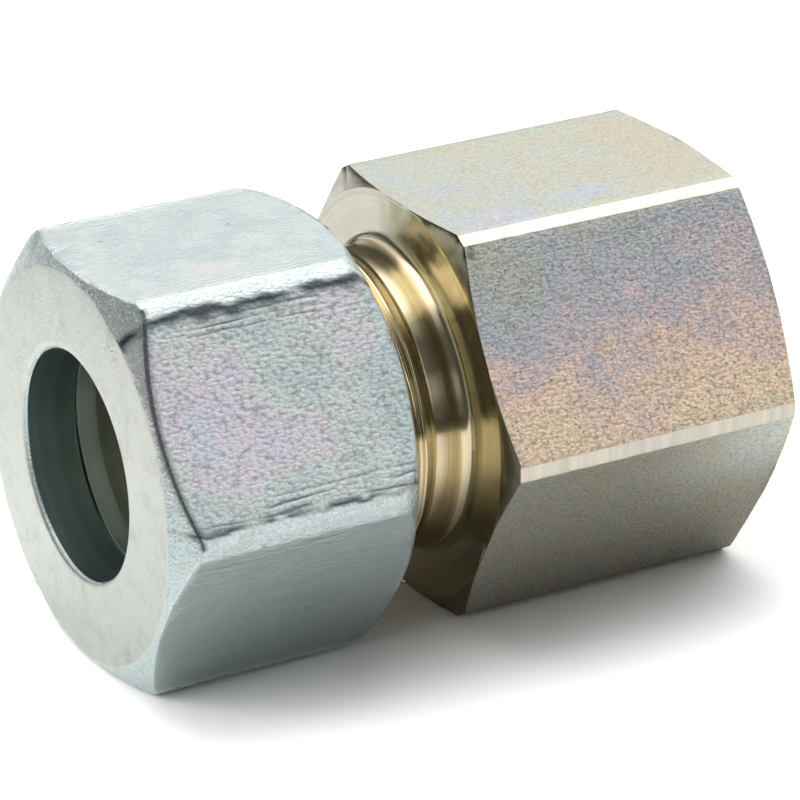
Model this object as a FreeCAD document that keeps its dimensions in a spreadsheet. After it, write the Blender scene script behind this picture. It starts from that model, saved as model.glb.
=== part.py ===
import FreeCAD, Part
import Sketcher
import os

# Straight female coupling for a 20 mm hydraulic tube: a hexagon-bar body with a female pipe-thread
# port at one end and a threaded shank at the other, the union nut on the shank, and the cutting ring
# between them that bites into the tube.
#
# The X axis is the axis of the bore and points out of the port. The origin is the middle of the
# tube stop, where the tube's end comes to sit. Everything lies on one flat of the hexagons, with
# Z up. Sizes are in millimetres.

# Every size that can be chosen by itself. Diameters and lengths of one piece that another piece
# has to match are worked out from these in PLACES, with the clearances named here.
SIZES = {
    # Tube
    "tube_diameter": 20.0,          # outside of the tube
    "tube_wall": 2.0,               # wall of the tube, so the flow bore has the tube's inside
    "tube_clearance": 0.05,         # radial, round the tube in the socket and in the ring
    # Shank thread, M30 x 2
    "shank_wall": 5.0,              # from the tube's outside to the thread's crest
    "thread_pitch": 2.0,
    "thread_clearance": 0.06,       # radial, between the two threads at their pitch line
    "shank_length": 18.7,           # from the hexagon's face to the tip
    "neck_depth": 1.5,              # of the neck below the thread's crest
    "neck_length": 3.8,             # from the hexagon's face to the thread's run-out
    "neck_corner": 0.8,             # of the small cone between the neck and the hexagon's face
    "runout_angle": 30.0,           # degrees, of the thread's run-out
    "tip_chamfer": 1.0,
    # Socket in the shank
    "cone_mouth_margin": 1.45,      # radial, from the tube's outside to the cone's mouth
    "cone_half_angle": 12.0,        # degrees
    "socket_depth": 10.5,           # from the shank's tip to the tube stop
    # Port, G 3/4
    "port_thread_diameter": 26.44,
    "port_thread_height": 1.162,    # radial, from the thread's crest to its core
    "port_depth": 20.0,             # full bore of the drilled core
    "port_mouth_margin": 0.3,       # radial, of the countersink outside the thread
    "drill_half_angle": 59.0,       # degrees
    # Hexagon of the body, whose flats are as far apart as the nut's
    "hex_length": 29.0,
    "corner_trim": 0.435,           # radial, turned off the bar's corners
    "hex_chamfer_depth": 2.25,      # radial, at both ends
    "hex_chamfer_length": 0.7,
    # Cutting ring
    "ring_length": 10.0,
    "ring_nose_wall": 0.75,         # radial thickness at the nose
    "ring_collar_wall": 2.55,       # radial thickness of the collar
    "ring_rear_wall": 0.42,         # radial, from the bore to the edge of the rear cone
    "ring_entry_margin": 0.2,       # radial, of the tapered entry at the rear
    "ring_entry_length": 1.7,
    "ring_shoulder_gap": 0.8,       # from the shank's tip to the ring's shoulder
    "edge_land": 0.9,               # length of each cutting edge
    "edge_relief_length": 1.3,
    "edge_relief_depth": 0.3,
    "drive_half_angle": 45.0,       # degrees, of the cone by which the nut drives the ring
    "seat_gap": 0.05,               # square to the cones, on both sides of the ring
    # Union nut
    "hex_wall": 3.0,                # from the shank thread's crest to the flats of nut and body
    "nut_length": 24.0,
    "nut_edge_radius": 2.5,         # of the six long edges
    "nut_bore_clearance": 0.12,     # radial, round the tube
    "nut_bore_length": 4.7,
    "nut_rim_chamfer": 0.3,
    "nut_face_inset": 0.55,         # radial, from the flats to the circle of the tube-side face
    "nut_back_inset": 1.4,          # radial, from the flats to the circle of the body-side face
    "nut_chamfer_angle": 30.0,      # degrees, from the face
    "nut_round_length": 5.5,        # how far the rounded corners reach along the nut
    "nut_round_depth": 2.585,       # radial, of the rounded corners
    "nut_pocket_length": 1.04,      # straight pocket round the ring's collar
    "collar_clearance": 0.15,       # radial, between that pocket and the collar
    "lead_in_margin": 0.2,          # radial, of the lead-in chamfer outside the thread
}

# Numbers that come out of the standards' own formulas.
PITCH_LINE = 0.32476                # of a pitch, from the crest to the pitch line of a 60 degree thread
MARGIN = 1.0                        # by which a cut runs past the solid

# What the pieces share, each as a formula of the sizes and of the lines above it.
PLACES = {
    # Radii in the body
    "socket_radius": "Sizes.tube_diameter / 2 + Sizes.tube_clearance",
    "flow_radius": "Sizes.tube_diameter / 2 - Sizes.tube_wall",
    "cone_mouth_radius": "Sizes.tube_diameter / 2 + Sizes.cone_mouth_margin",
    "crest_radius": "Sizes.tube_diameter / 2 + Sizes.shank_wall",
    "pitch_radius": f"Places.crest_radius - {PITCH_LINE} * Sizes.thread_pitch",
    "shank_radius": "Places.pitch_radius - Sizes.thread_clearance / 2",
    "neck_radius": "Places.crest_radius - Sizes.neck_depth",
    "core_radius": "Sizes.port_thread_diameter / 2 - Sizes.port_thread_height",
    "mouth_radius": "Sizes.port_thread_diameter / 2 + Sizes.port_mouth_margin",
    "hex_flat": "Places.crest_radius + Sizes.hex_wall",
    "hex_corner": "Places.hex_flat / cos(30)",
    "turned_corner": "Places.hex_corner - Sizes.corner_trim",
    "hex_face_radius": "Places.turned_corner - Sizes.hex_chamfer_depth",
    # Distances along the body, all from the port's mouth towards the tip
    "runout_end": "Sizes.hex_length + Sizes.neck_length"
                  " + (Places.shank_radius - Places.neck_radius) / tan(Sizes.runout_angle)",
    "tip": "Sizes.hex_length + Sizes.shank_length",
    "cone_length": "(Places.cone_mouth_radius - Places.socket_radius) / tan(Sizes.cone_half_angle)",
    "tube_stop": "Places.tip - Sizes.socket_depth",
    "drill_end": "Sizes.port_depth + (Places.core_radius - Places.flow_radius)"
                 " / tan(Sizes.drill_half_angle)",
    # Cutting ring, whose own X runs from its rear face to its nose
    "nose_radius": "Places.socket_radius + Sizes.ring_nose_wall",
    "collar_radius": "Places.socket_radius + Sizes.ring_collar_wall",
    "rear_radius": "Places.socket_radius + Sizes.ring_rear_wall",
    "drive_length": "(Places.collar_radius - Places.rear_radius) / tan(Sizes.drive_half_angle)",
    "nose_reach": "(Places.cone_mouth_radius - Places.nose_radius) / tan(Sizes.cone_half_angle)"
                  " - Sizes.seat_gap / sin(Sizes.cone_half_angle)",
    "shoulder": "Sizes.ring_length - Places.nose_reach - Sizes.ring_shoulder_gap",
    "shoulder_radius": "Places.nose_radius + (Sizes.ring_length - Places.shoulder)"
                       " * tan(Sizes.cone_half_angle)",
    "collar_end": "Places.shoulder - (Places.collar_radius - Places.shoulder_radius)",
    "ring_x": "Places.nose_reach - Sizes.socket_depth - Sizes.ring_length",
    # Union nut, whose own X runs from its tube-side face to its body-side face
    "nut_bore_radius": "Sizes.tube_diameter / 2 + Sizes.nut_bore_clearance",
    "nut_pocket_radius": "Places.collar_radius + Sizes.collar_clearance",
    "nut_thread_radius": "Places.pitch_radius + Sizes.thread_clearance / 2",
    "lead_in_radius": "Places.crest_radius + Sizes.lead_in_margin",
    "nut_seat_end": "Sizes.nut_bore_length + (Places.nut_pocket_radius - Places.nut_bore_radius)"
                    " / tan(Sizes.drive_half_angle)",
    "nut_pocket_end": "Places.nut_seat_end + Sizes.nut_pocket_length",
    "nut_thread_start": "Places.nut_pocket_end + Places.nut_thread_radius - Places.nut_pocket_radius",
    "nut_face_radius": "Places.hex_flat - Sizes.nut_face_inset",
    "nut_back_radius": "Places.hex_flat - Sizes.nut_back_inset",
    "nut_round_radius": "Places.hex_corner - Sizes.nut_round_depth",
    "nut_round_start": "Sizes.nut_length - (Places.nut_round_radius - Places.nut_back_radius)"
                       " * tan(Sizes.nut_chamfer_angle)",
    "nut_round_end": "Sizes.nut_length - Sizes.nut_round_length",
    "nut_sweep": "(Sizes.nut_round_depth ^ 2 + (Places.nut_round_start - Places.nut_round_end) ^ 2)"
                 " / (2 * Sizes.nut_round_depth)",
    "nut_x": "Places.ring_x - Sizes.nut_bore_length - (Places.rear_radius - Places.nut_bore_radius"
             " + Sizes.seat_gap / cos(Sizes.drive_half_angle)) / tan(Sizes.drive_half_angle)",
}


def write_sizes(doc):
    """The sheet of driving sizes, one row each: the name, and the number under that alias."""
    sheet = doc.addObject("Spreadsheet::Sheet", "Sizes")
    for row, (name, value) in enumerate(SIZES.items(), start=1):
        sheet.set(f"A{row}", name)
        sheet.set(f"B{row}", str(value))
        sheet.setAlias(f"B{row}", name)
    doc.recompute()


def write_places(doc):
    """The shared radii and distances, each bound to its formula."""
    places = doc.addObject("App::VarSet", "Places")
    for name, formula in PLACES.items():
        places.addProperty("App::PropertyFloat", name, "Places")
        places.setExpression(name, formula)
    doc.recompute()


def origin_plane(body, role):
    """One of a body's own three planes, found by its role."""
    return next(item for item in body.Origin.OriginFeatures if item.Role == role)


def new_sketch(body, name, role):
    """A sketch that lies on one of the body's own planes."""
    sketch = body.newObject("Sketcher::SketchObject", name)
    sketch.AttachmentSupport = (origin_plane(body, role), [""])
    sketch.MapMode = "FlatFace"
    return sketch


def bind_point(sketch, side, end, across, up):
    """Holds one point of a sketch at two formulas; a formula that is None is left to the arc."""
    for kind, formula in (("DistanceX", across), ("DistanceY", up)):
        if formula is None:
            continue
        value = float(sketch.evalExpression(formula))
        index = sketch.addConstraint(Sketcher.Constraint(kind, -1, 1, side, end, value))
        sketch.setExpression(f"Constraints[{index}]", formula)


def outline(body, name, corners, arcs=None):
    """A closed outline on the XZ plane, whose corners are (distance along the axis, radius).

    arcs gives, for a side's number, the middle of an arc that runs anticlockwise from that corner
    to the next; the next corner's radius then follows from the arc.
    """
    arcs = arcs or {}
    sketch = new_sketch(body, name, "XZ_Plane")
    count = len(corners)
    spots = [FreeCAD.Vector(sketch.evalExpression(x), sketch.evalExpression(r), 0) for x, r in corners]
    for side, start in enumerate(spots):
        end = spots[(side + 1) % count]
        if side in arcs:
            middle = FreeCAD.Vector(*[sketch.evalExpression(place) for place in arcs[side]], 0)
            circle = Part.Circle(middle, FreeCAD.Vector(0, 0, 1), (start - middle).Length)
            shape = Part.ArcOfCircle(circle, circle.parameter(start), circle.parameter(end))
        else:
            shape = Part.LineSegment(start, end)
        sketch.addGeometry(shape, False)
    for side in range(count):
        following = (side + 1) % count
        sketch.addConstraint(Sketcher.Constraint("Coincident", side, 2, following, 1))
        x, r = corners[side]
        bind_point(sketch, side, 1, x, None if side - 1 in arcs else r)
        if side in arcs:
            bind_point(sketch, side, 3, *arcs[side])
    return sketch


def turned(body, kind, name, corners, arcs=None):
    """Turns an outline round the axis: a Revolution adds it and a Groove takes it away."""
    sketch = outline(body, name + "_outline", corners, arcs)
    feature = body.newObject("PartDesign::" + kind, name)
    feature.Profile = (sketch, [""])
    feature.ReferenceAxis = (sketch, ["H_Axis"])
    feature.Angle = 360.0
    return finished(body, feature)


def finished(body, feature):
    """Recomputes a feature and makes sure that it added to the solid, or took away from it."""
    before = feature.BaseFeature.Shape.Volume if feature.BaseFeature else 0.0
    body.Document.recompute()
    after = feature.Shape.Volume
    if feature.State and "Invalid" in feature.State or abs(after - before) < 1e-6:
        raise RuntimeError(f"{feature.Name} changed nothing")
    return feature


def hexagon_bar(body, name, flat, length, to_tip):
    """A hexagonal bar from the YZ plane, two of its flats level, flat being half across flats."""
    sketch = new_sketch(body, name + "_outline", "YZ_Plane")
    reach = sketch.evalExpression(flat) / 3 ** 0.5 * 2
    around = FreeCAD.Rotation(FreeCAD.Vector(0, 0, 1), 60)
    corner = FreeCAD.Vector(reach, 0, 0)
    for side in range(6):
        following = around.multVec(corner)
        sketch.addGeometry(Part.LineSegment(corner, following), False)
        corner = following
    circle = sketch.addGeometry(Part.Circle(FreeCAD.Vector(), FreeCAD.Vector(0, 0, 1), reach), True)
    sketch.addConstraint(Sketcher.Constraint("Coincident", circle, 3, -1, 1))
    for side in range(6):
        sketch.addConstraint(Sketcher.Constraint("Coincident", side, 2, (side + 1) % 6, 1))
        sketch.addConstraint(Sketcher.Constraint("PointOnObject", side, 1, circle))
    for side in range(5):
        sketch.addConstraint(Sketcher.Constraint("Equal", side, side + 1))
    sketch.addConstraint(Sketcher.Constraint("Horizontal", 1))
    size = sketch.addConstraint(Sketcher.Constraint("Radius", circle, reach))
    sketch.setExpression(f"Constraints[{size}]", f"{flat} / cos(30)")
    pad = body.newObject("PartDesign::Pad", name)
    pad.Profile = (sketch, [""])
    pad.setExpression("Length", length)
    pad.Reversed = to_tip
    return finished(body, pad)


def edges_where(feature, wanted):
    """The names of a feature's edges that answer a question."""
    return [f"Edge{number}" for number, edge in enumerate(feature.Shape.Edges, start=1) if wanted(edge)]


def rounded(body, name, base, edges, radius):
    """Rounds the named edges of the feature before it."""
    fillet = body.newObject("PartDesign::Fillet", name)
    fillet.Base = (base, edges)
    fillet.setExpression("Radius", radius)
    return finished(body, fillet)


def make_fitting_body(doc):
    """Hexagon bar with the shank turned on one end and one stepped bore right through it.

    The body's own X is 0 at the port's mouth, so all of the body lies at negative X.
    """
    body = doc.addObject("PartDesign::Body", "fitting_body")
    hexagon_bar(body, "hexagon", "Places.hex_flat", "Sizes.hex_length", to_tip=True)

    # The corners of the bar are turned down, and both ends are chamfered.
    clear = f"Places.hex_corner + {MARGIN}"
    turned(body, "Groove", "turned_corners", [
        (f"{MARGIN}", "Places.hex_face_radius"),
        ("0", "Places.hex_face_radius"),
        ("-Sizes.hex_chamfer_length", "Places.turned_corner"),
        ("Sizes.hex_chamfer_length - Sizes.hex_length", "Places.turned_corner"),
        ("-Sizes.hex_length", "Places.hex_face_radius"),
        (f"-Sizes.hex_length - {MARGIN}", "Places.hex_face_radius"),
        (f"-Sizes.hex_length - {MARGIN}", clear),
        (f"{MARGIN}", clear),
    ])

    # Neck between its corner and the run-out, and the thread as a cylinder at its pitch line.
    turned(body, "Revolution", "shank", [
        ("-Sizes.hex_length", "0"),
        ("-Sizes.hex_length", "Places.neck_radius + Sizes.neck_corner"),
        ("-Sizes.hex_length - Sizes.neck_corner", "Places.neck_radius"),
        ("-Sizes.hex_length - Sizes.neck_length", "Places.neck_radius"),
        ("-Places.runout_end", "Places.shank_radius"),
        ("Sizes.tip_chamfer - Places.tip", "Places.shank_radius"),
        ("-Places.tip", "Places.shank_radius - Sizes.tip_chamfer"),
        ("-Places.tip", "0"),
    ])

    # Cone for the ring, socket for the tube, flow bore, and the drilled core of the port.
    turned(body, "Groove", "passage", [
        ("-Places.tip", "0"),
        ("-Places.tip", "Places.cone_mouth_radius"),
        ("Places.cone_length - Places.tip", "Places.socket_radius"),
        ("-Places.tube_stop", "Places.socket_radius"),
        ("-Places.tube_stop", "Places.flow_radius"),
        ("-Places.drill_end", "Places.flow_radius"),
        ("-Sizes.port_depth", "Places.core_radius"),
        ("Places.core_radius - Places.mouth_radius", "Places.core_radius"),
        ("0", "Places.mouth_radius"),
        ("0", "0"),
    ])
    body.setExpression("Placement.Base.x", "Places.tube_stop")
    return body


def make_cutting_ring(doc):
    """Ring with a long cone to the front, two cutting edges inside it, and a drive cone behind."""
    body = doc.addObject("PartDesign::Body", "cutting_ring")
    corners = [
        ("0", "Places.socket_radius + Sizes.ring_entry_margin"),
        ("0", "Places.rear_radius"),
        ("Places.drive_length", "Places.collar_radius"),
        ("Places.collar_end", "Places.collar_radius"),
        ("Places.shoulder", "Places.shoulder_radius"),
        ("Sizes.ring_length", "Places.nose_radius"),
        ("Sizes.ring_length", "Places.socket_radius"),
    ]
    # Each edge is a land on the bore with a relief behind it, steep at the edge and shallow beyond.
    for edge in range(2):
        start = f"Sizes.ring_length - {edge} * (Sizes.edge_land + Sizes.edge_relief_length)"
        corners += [
            (f"{start} - Sizes.edge_land", "Places.socket_radius"),
            (f"{start} - Sizes.edge_land", "Places.socket_radius + Sizes.edge_relief_depth"),
            (f"{start} - Sizes.edge_land - Sizes.edge_relief_length", "Places.socket_radius"),
        ]
    corners.append(("Sizes.ring_entry_length", "Places.socket_radius"))
    turned(body, "Revolution", "ring", corners)
    body.setExpression("Placement.Base.x", "Places.ring_x")
    return body


def make_union_nut(doc):
    """Forged hexagon nut: rounded long edges, chamfered ends, and a stepped bore with its seat."""
    body = doc.addObject("PartDesign::Body", "union_nut")
    bar = hexagon_bar(body, "hexagon", "Places.hex_flat", "Sizes.nut_length", to_tip=False)

    def along_nut(edge):
        return isinstance(edge.Curve, Part.Line) and abs(edge.tangentAt(edge.FirstParameter).x) > 0.99

    rounded(body, "long_edges", bar, edges_where(bar, along_nut), "Sizes.nut_edge_radius")

    # Tube side: a plain cone from the face out past the corners.
    clear = f"Places.hex_corner + {MARGIN}"
    turned(body, "Groove", "face_chamfer", [
        (f"-{MARGIN}", "Places.nut_face_radius"),
        ("0", "Places.nut_face_radius"),
        (f"({clear} - Places.nut_face_radius) * tan(Sizes.nut_chamfer_angle)", clear),
        (f"-{MARGIN}", clear),
    ])

    # Body side: a short cone, and then the corners sweep back in an arc, as the forging left them.
    turned(body, "Groove", "rounded_corners", [
        ("Sizes.nut_length", "Places.nut_back_radius"),
        ("Places.nut_round_start", "Places.nut_round_radius"),
        ("Places.nut_round_end", "Places.hex_corner"),
        ("Places.nut_round_end", clear),
        (f"Sizes.nut_length + {MARGIN}", clear),
        (f"Sizes.nut_length + {MARGIN}", "Places.nut_back_radius"),
    ], arcs={1: ("Places.nut_round_end", "Places.hex_corner - Places.nut_sweep")})

    # Tube bore, seat that drives the ring, pocket for its collar, and thread at the pitch line.
    turned(body, "Groove", "nut_bore", [
        ("0", "0"),
        ("0", "Places.nut_bore_radius + Sizes.nut_rim_chamfer"),
        ("Sizes.nut_rim_chamfer", "Places.nut_bore_radius"),
        ("Sizes.nut_bore_length", "Places.nut_bore_radius"),
        ("Places.nut_seat_end", "Places.nut_pocket_radius"),
        ("Places.nut_pocket_end", "Places.nut_pocket_radius"),
        ("Places.nut_thread_start", "Places.nut_thread_radius"),
        ("Sizes.nut_length + Places.nut_thread_radius - Places.lead_in_radius",
         "Places.nut_thread_radius"),
        ("Sizes.nut_length", "Places.lead_in_radius"),
        ("Sizes.nut_length", "0"),
    ])
    body.setExpression("Placement.Base.x", "Places.nut_x")
    return body


def write_parts(doc, bodies):
    """Checks every object and every solid first, and then writes one file for each piece."""
    doc.recompute()
    for item in doc.Objects:
        if "Invalid" in item.State or "Error" in item.State:
            raise RuntimeError(f"{item.Name} did not recompute")
    for body in bodies:
        if body.Shape.isNull() or not body.Shape.isValid() or len(body.Shape.Solids) != 1:
            raise RuntimeError(f"{body.Label} is not one valid solid")
    os.makedirs("parts", exist_ok=True)
    for body in bodies:
        body.Shape.exportStep(f"parts/{body.Label}.step")
        box = body.Shape.BoundBox
        print(f"{body.Label}: {body.Shape.Volume:.1f} mm3, x {box.XMin:.2f} to {box.XMax:.2f}, "
              f"z {box.ZMin:.2f} to {box.ZMax:.2f}")


def main():
    doc = FreeCAD.newDocument("coupling")
    write_sizes(doc)
    write_places(doc)
    write_parts(doc, [make_fitting_body(doc), make_cutting_ring(doc), make_union_nut(doc)])


main()
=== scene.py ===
import math

import bpy
import numpy as np
from mathutils import Matrix, Vector


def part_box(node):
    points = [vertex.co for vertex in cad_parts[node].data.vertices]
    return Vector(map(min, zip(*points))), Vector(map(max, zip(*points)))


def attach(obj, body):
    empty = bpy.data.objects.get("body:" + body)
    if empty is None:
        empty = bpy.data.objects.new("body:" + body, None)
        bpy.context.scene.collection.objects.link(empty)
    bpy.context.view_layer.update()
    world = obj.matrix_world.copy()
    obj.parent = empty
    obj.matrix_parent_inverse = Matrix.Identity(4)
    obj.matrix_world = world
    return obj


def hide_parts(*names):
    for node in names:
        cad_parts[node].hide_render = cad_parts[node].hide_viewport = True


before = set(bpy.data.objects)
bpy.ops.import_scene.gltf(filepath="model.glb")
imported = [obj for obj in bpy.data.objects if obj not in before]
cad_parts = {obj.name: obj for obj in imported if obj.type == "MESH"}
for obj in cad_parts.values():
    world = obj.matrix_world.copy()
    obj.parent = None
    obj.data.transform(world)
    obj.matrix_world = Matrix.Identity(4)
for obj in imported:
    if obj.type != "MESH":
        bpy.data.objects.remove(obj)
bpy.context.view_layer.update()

bl_info = {
    "name": "Tube Coupling",
    "version": (1, 0, 0),
    "blender": (4, 5, 0),
    "location": "View3D > Sidebar > Coupling",
    "description": "Surfaces, threads and plated finishes of a straight tube coupling",
    "category": "Add Mesh",
}

MM = 0.001
SIXTH = math.pi / 3


def millimetres(node):
    """Lowest and highest corner of a CAD node, in millimetres."""
    low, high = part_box(node)
    return np.array(low) / MM, np.array(high) / MM


BODY_LOW, BODY_HIGH = millimetres("fitting_body")
NUT_LOW, NUT_HIGH = millimetres("union_nut")
# Distances along the axis, and the hexagons' flat and corner distances from it, in millimetres
TIP = BODY_LOW[0]
PORT = BODY_HIGH[0]
BODY_HEX_LENGTH = 29.0
HEX_FACE = PORT - BODY_HEX_LENGTH
NUT_FACE = NUT_LOW[0]
NUT_BACK = NUT_HIGH[0]
FLAT = BODY_HIGH[2]
CORNER = FLAT / math.cos(SIXTH / 2)
# Rows in the round of a profile's corner
ROUND_ROWS = 4


# Shapes: arrays of rows by columns, where a column is one angle round the axis and a row is one
# point of the profile, given as distance along the axis and radius, in millimetres.

def section_angles(corner_half, corner_columns, flat_columns):
    """Angles of the columns: a narrow band at each corner of the hexagon, at 0, 60, 120 degrees and
    on, and the flats between them, each divided evenly."""
    band = np.linspace(-corner_half, corner_half, corner_columns, endpoint=False)
    flat = np.linspace(corner_half, SIXTH - corner_half, flat_columns, endpoint=False)
    sector = np.concatenate([band, flat])
    return (sector + np.arange(6)[:, None] * SIXTH).ravel()


def hexagon_radius(angle):
    """Distance from the axis to a hexagon's side: the flat's distance over the cosine of the angle
    from the middle of that flat."""
    return FLAT / np.cos(angle % SIXTH - SIXTH / 2)


def rounded_radius(angle, rounding):
    """The hexagon with its corners rounded: near a corner, the far side of a circle of the rounding's
    radius whose middle lies on the corner's own line."""
    middle = (FLAT - rounding) / math.cos(SIXTH / 2)
    off = (angle + SIXTH / 2) % SIXTH - SIXTH / 2
    arc = middle * np.cos(off) + np.sqrt(np.maximum(rounding ** 2 - (middle * np.sin(off)) ** 2, 0))
    half_flat = (FLAT - rounding) * math.tan(SIXTH / 2)
    tangent = SIXTH / 2 - math.atan2(half_flat, FLAT)
    return np.where(np.abs(off) < tangent, arc, hexagon_radius(angle))


def profile(steps, columns):
    """Rows of a profile that has a small round at each inner corner, and each row's finish.

    Each step is (distance, radius, rounding, spacing, finish): the corner it leads to, the rounding
    there, and the spacing and finish on the way to it. Distance and radius are each one number or
    one per column. Near an inner corner P the rows follow (1-t)^2 A + 2t(1-t) P + t^2 B, where A and
    B lie on the two sides at the rounding's distance from P. Between these curves they are evenly
    spaced. A row's finish is that of the faces which end in it.
    """
    points = np.array([[np.broadcast_to(np.asarray(value, float), (columns,)) for value in step[:2]]
                       for step in steps]).transpose(0, 2, 1)
    rows, finishes = [points[0]], [steps[0][4]]
    leaving = points[0]
    for number in range(1, len(points)):
        point = points[number]
        reach, spacing, finish = steps[number][2:]
        before = points[number - 1] - point
        length = np.linalg.norm(before, axis=1, keepdims=True) + 1e-9
        start = end = point
        if reach:
            after = points[number + 1] - point
            after_length = np.linalg.norm(after, axis=1, keepdims=True) + 1e-9
            reach = np.minimum(reach, 0.45 * np.minimum(length, after_length))
            start = point + before / length * reach
            end = point + after / after_length * reach
        way = float(np.linalg.norm(start - leaving, axis=1).mean())
        count = max(1, round(way / spacing))
        share = (np.arange(1, count + 1) / count)[:, None, None]
        rows.extend(leaving + (start - leaving) * share)
        finishes.extend([finish] * count)
        if steps[number][2]:
            for step in np.arange(1, ROUND_ROWS + 1) / ROUND_ROWS:
                rows.append((1 - step) ** 2 * start + 2 * step * (1 - step) * point + step ** 2 * end)
                finishes.append(finish if step < 0.6 else steps[number + 1][4])
        leaving = end
    return np.array(rows), np.array(finishes)


def joined(strips):
    """One closed profile from strips of (rows, finishes), and the finish of the faces that start in
    each row."""
    rows = np.concatenate([strip[0] for strip in strips])
    finishes = np.concatenate([strip[1] for strip in strips])
    return rows, np.roll(finishes, -1)


def thread(start, stop, angle, pitch, root, crest, rows_per_pitch, fade):
    """Rows of a right-hand thread between two distances along the axis.

    The ridge follows distance / pitch - angle / turn: it is flat for an eighth of a pitch at the
    crest and a sixth at the root, with straight flanks between. It fades in and out over the fade's
    length at each end, down to the root.
    """
    count = round((stop - start) / pitch * rows_per_pitch)
    x = np.linspace(start, stop, count + 1)[:, None] * np.ones(len(angle))
    place = (x / pitch - angle / (2 * math.pi)) % 1.0
    from_crest = np.abs(place - 0.5)
    root_edge, flank = 0.417, 0.354
    height = np.clip((root_edge - from_crest) / flank, 0, 1)
    inside = np.clip(np.minimum(x - start, stop - x) / fade, 0, 1)
    return np.stack([x, root + (crest - root) * height * inside], axis=-1)


def waves(points, size, seed, count=28):
    """An uneven field of about -1 to 1: cosines in random directions, with wavelengths round the
    given size, added up and divided by the square root of half their number."""
    random = np.random.default_rng(seed)
    direction = random.normal(size=(count, 3))
    direction /= np.linalg.norm(direction, axis=1, keepdims=True)
    step = 2 * math.pi / (size * random.uniform(0.7, 1.5, count))
    phase = random.uniform(0, 2 * math.pi, count)
    return np.cos(points @ (direction * step[:, None]).T + phase).sum(-1) / math.sqrt(count / 2)


def lathe_points(rows, angle):
    """Turns rows of (distance, radius) into points: x, radius times cosine and sine of the angle."""
    return np.stack([rows[..., 0], rows[..., 1] * np.cos(angle), rows[..., 1] * np.sin(angle)], axis=-1)


def across_flat(angle, radius):
    """Where a point lies on its flat: the middle angle of that flat in whole degrees, and the
    distance from its middle line, which is the radius times the sine of the angle between them."""
    middle = np.floor(angle / SIXTH) * SIXTH + SIXTH / 2
    return np.round(np.degrees(middle)), radius * np.sin(angle - middle)


def spots(x, across, flat, patches):
    """Sum of soft patches on the flats. Each patch is (flat, x, across, reach along x, reach across,
    amount) and adds its amount times e to minus the squared distance in reaches."""
    total = np.zeros(np.broadcast(x, across).shape)
    for middle, x0, across0, reach_x, reach_across, amount in patches:
        fall = ((x - x0) / reach_x) ** 2 + ((across - across0) / reach_across) ** 2
        total += amount * np.exp(-fall) * (np.abs(flat - middle) < 1)
    return total


def dents(points, places):
    """Depth of round dents: for each (x, y, z, radius, depth) the depth times (1 - d^2)^2 within the
    radius, where d is the distance from its middle in radii."""
    total = np.zeros(points.shape[:2])
    for x, y, z, radius, depth in places:
        squared = ((points - np.array([x, y, z])) ** 2).sum(-1) / radius ** 2
        total += depth * np.maximum(1 - squared, 0) ** 2
    return total


def outward(points):
    """Unit normals of a grid that is closed both ways: the cross product of its two differences."""
    along = np.roll(points, -1, 0) - np.roll(points, 1, 0)
    around = np.roll(points, -1, 1) - np.roll(points, 1, 1)
    normal = np.cross(along, around)
    normal /= np.linalg.norm(normal, axis=-1, keepdims=True) + 1e-12
    volume = np.einsum("ijk,ijk->", points, np.cross(along, around))
    return normal * (1 if volume > 0 else -1)


def add_object(name, data):
    """A new object in the scene with the given data."""
    made = bpy.data.objects.new(name, data)
    bpy.context.scene.collection.objects.link(made)
    return made


def torus_mesh(name, points, labels, materials, attributes):
    """A closed mesh from a grid that joins up both ways. Labels give each face its material, and
    attributes give the vertices named values."""
    rows, columns = points.shape[:2]
    index = np.arange(rows * columns).reshape(rows, columns)
    right = np.roll(index, -1, 1)
    faces = np.stack([index, right, np.roll(right, -1, 0), np.roll(index, -1, 0)], axis=-1)
    along = np.roll(points, -1, 0) - points
    around = np.roll(points, -1, 1) - points
    if np.einsum("ijk,ijk->", points, np.cross(around, along)) < 0:
        faces = faces[..., ::-1]
    mesh = bpy.data.meshes.new(name)
    mesh.vertices.add(rows * columns)
    mesh.vertices.foreach_set("co", (points * MM).astype(np.float32).ravel())
    mesh.loops.add(faces.size)
    mesh.loops.foreach_set("vertex_index", faces.astype(np.int32).ravel())
    mesh.polygons.add(rows * columns)
    mesh.polygons.foreach_set("loop_start", np.arange(0, faces.size, 4, dtype=np.int32))
    mesh.polygons.foreach_set("material_index", np.asarray(labels, np.int32).ravel())
    mesh.polygons.foreach_set("use_smooth", np.ones(rows * columns, bool))
    for key, values in attributes.items():
        layer = mesh.attributes.new(key, "FLOAT", "POINT")
        layer.data.foreach_set("value", values.astype(np.float32).ravel())
    mesh.update(calc_edges=True)
    mesh.validate()
    for material in materials:
        mesh.materials.append(material)
    return add_object(name, mesh)


# Nodes

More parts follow.
